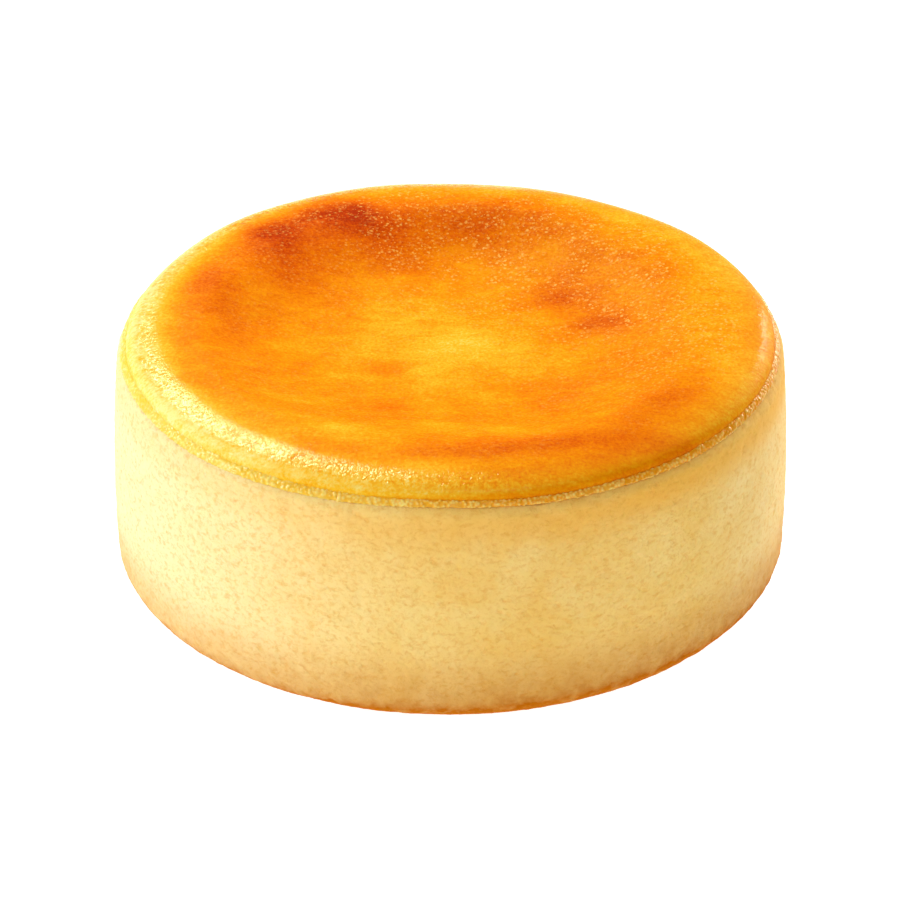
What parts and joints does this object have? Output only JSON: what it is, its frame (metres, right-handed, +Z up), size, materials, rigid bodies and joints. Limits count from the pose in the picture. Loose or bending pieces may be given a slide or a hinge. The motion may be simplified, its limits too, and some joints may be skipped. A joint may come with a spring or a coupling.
{
  "type": "cheesecake",
  "caption": "Round whole baked cheesecake with a cream side, a rounded foot, a soft ledge and a browned top crust with a rolled rim and a sunken middle.",
  "frame": {"origin": "centre of the flat underside", "axes": "+Z up out of the top crust, -Y towards the side that the picture shows"},
  "size_m": [0.1506, 0.15, 0.0598],
  "materials": {
    "baked_cake": "baked cheesecake: glossy golden to dark brown crust over a matt cream crumb"
  },
  "bodies": {
    "root": {"cheesecake": "baked_cake"}
  },
  "joints": []
}
